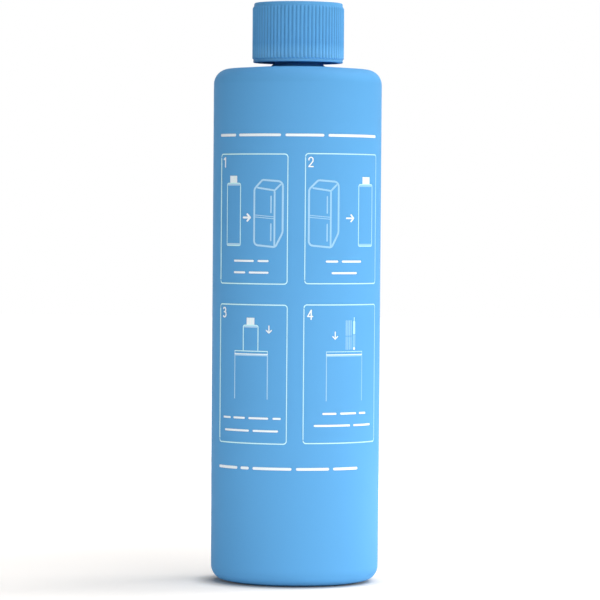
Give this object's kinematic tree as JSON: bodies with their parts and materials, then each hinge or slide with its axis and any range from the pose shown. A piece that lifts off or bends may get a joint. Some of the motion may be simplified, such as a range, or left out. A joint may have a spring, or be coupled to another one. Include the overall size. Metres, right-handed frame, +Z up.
{
  "type": "coolant bottle",
  "caption": "Round blue coolant bottle with a narrow neck, sealed gel fill and ribbed screw cap, frozen and then put into an insulin cooling case.",
  "frame": {"origin": "centre of the base, on the plane that the bottle stands on", "axes": "+Z up along the bottle's axis towards the cap, -Y out of the printed front, +X to the right of that front"},
  "size_m": [0.05, 0.05, 0.1725],
  "materials": {
    "bottle_plastic": "blow-moulded HDPE, soft matt blue",
    "cap_plastic": "injection-moulded PP, satin blue",
    "sleeve_plastic": "injection-moulded PP, blue",
    "stopper_plastic": "natural LDPE, milky white",
    "gel": "freezable gel, pale blue",
    "liner_foam": "closed-cell PE foam, white"
  },
  "bodies": {
    "bottle": {"bottle_shell": "bottle_plastic", "coolant_gel": "gel", "neck_plug": "stopper_plastic"},
    "liner": {"cap_liner": "liner_foam"},
    "cap": {"cap_outer_shell": "cap_plastic", "cap_threaded_insert": "sleeve_plastic"}
  },
  "joints": [
    {"name": "cap_rise", "type": "slide", "parent": "bottle", "child": "liner", "axis": [0, 0, 1], "range_m": [0, 0.00526]},
    {"name": "cap_turn", "type": "hinge", "parent": "liner", "child": "cap", "pos_m": [0, 0, 0.155], "axis": [0, 0, 1], "range_deg": [0, 630]}
  ],
  "couplings": [
    {"joint": "cap_rise", "follows": "cap_turn", "m_per_rad": 0.00047746}
  ]
}
